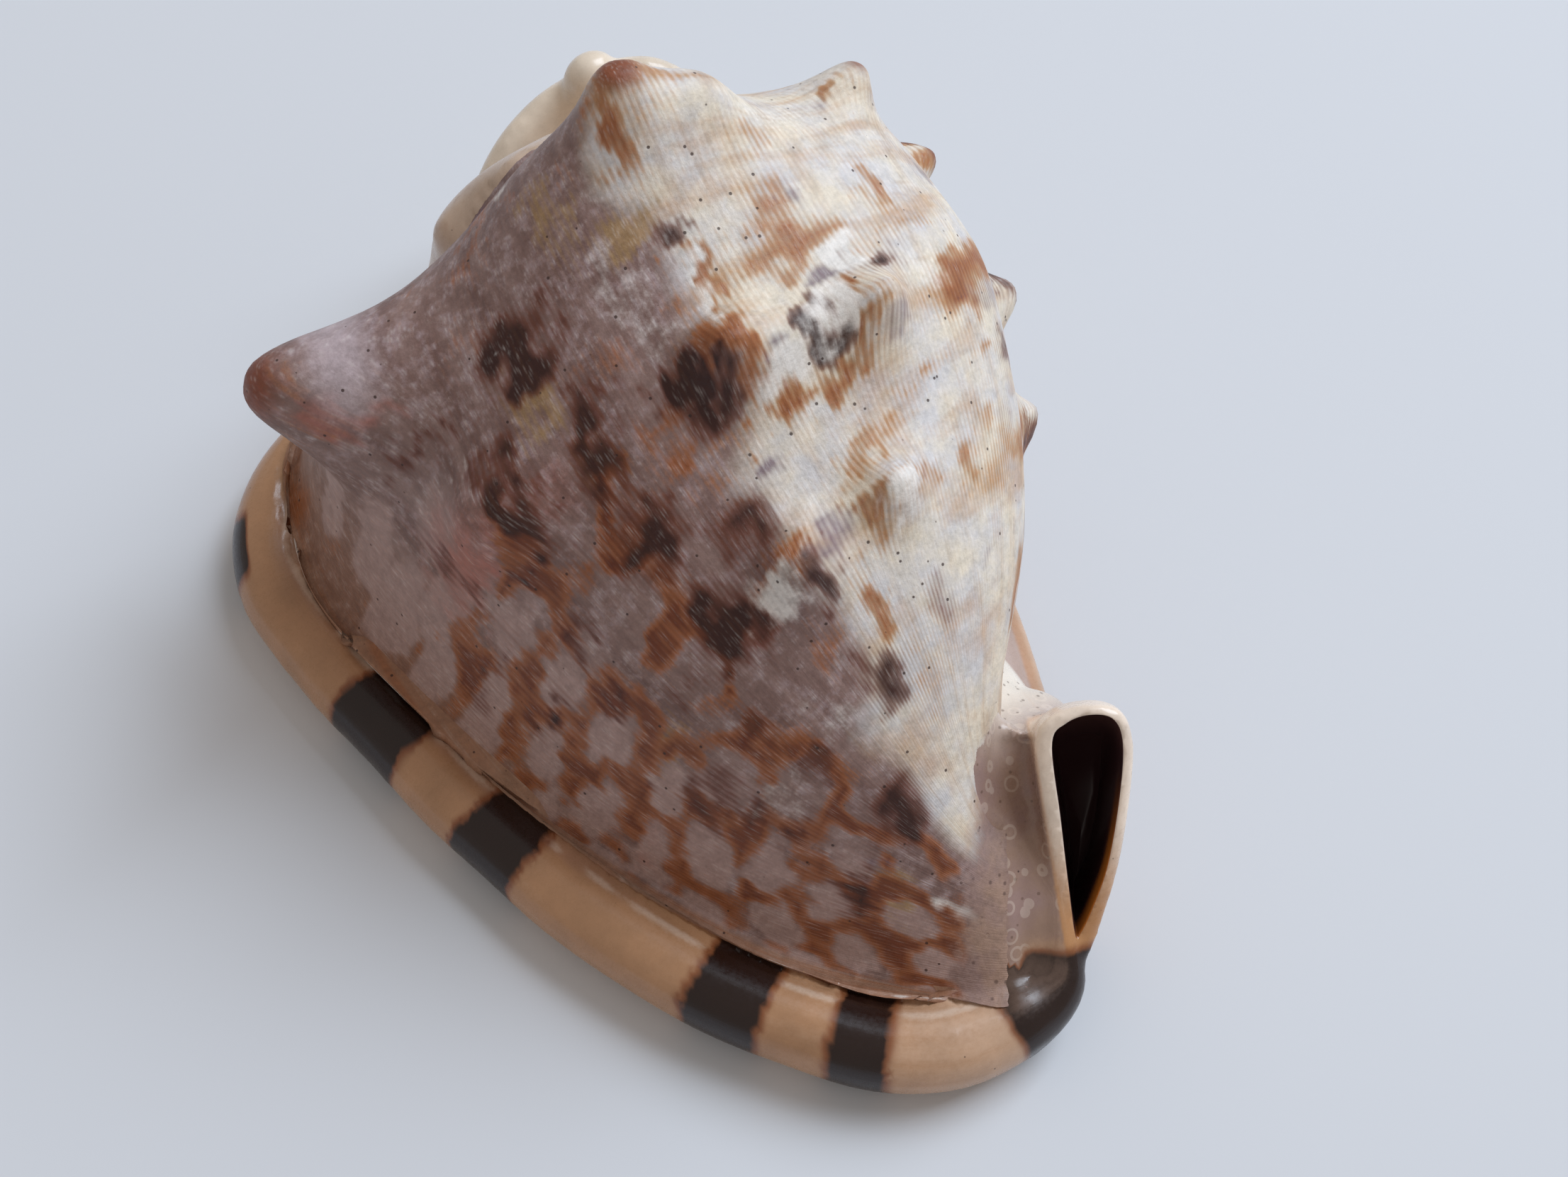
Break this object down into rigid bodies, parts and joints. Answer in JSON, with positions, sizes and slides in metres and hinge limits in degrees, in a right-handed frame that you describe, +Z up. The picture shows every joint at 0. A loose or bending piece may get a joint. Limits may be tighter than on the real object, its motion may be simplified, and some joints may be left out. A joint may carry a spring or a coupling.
{
  "type": "horned helmet shell",
  "caption": "Heavy seashell with a horned shoulder, a rolled outer lip and an upturned canal, lying on its opening.",
  "frame": {"origin": "centre of the bounding box in plan, at the height of the underside", "axes": "+Z up, +Y towards the spire, -Y towards the canal, -X towards the outer lip"},
  "size_m": [0.1174, 0.1568, 0.0906],
  "materials": {
    "shell": "worn natural shell, satin on the back and glossy on the rolled lip"
  },
  "bodies": {
    "root": {"helmet_shell": "shell"}
  },
  "joints": []
}
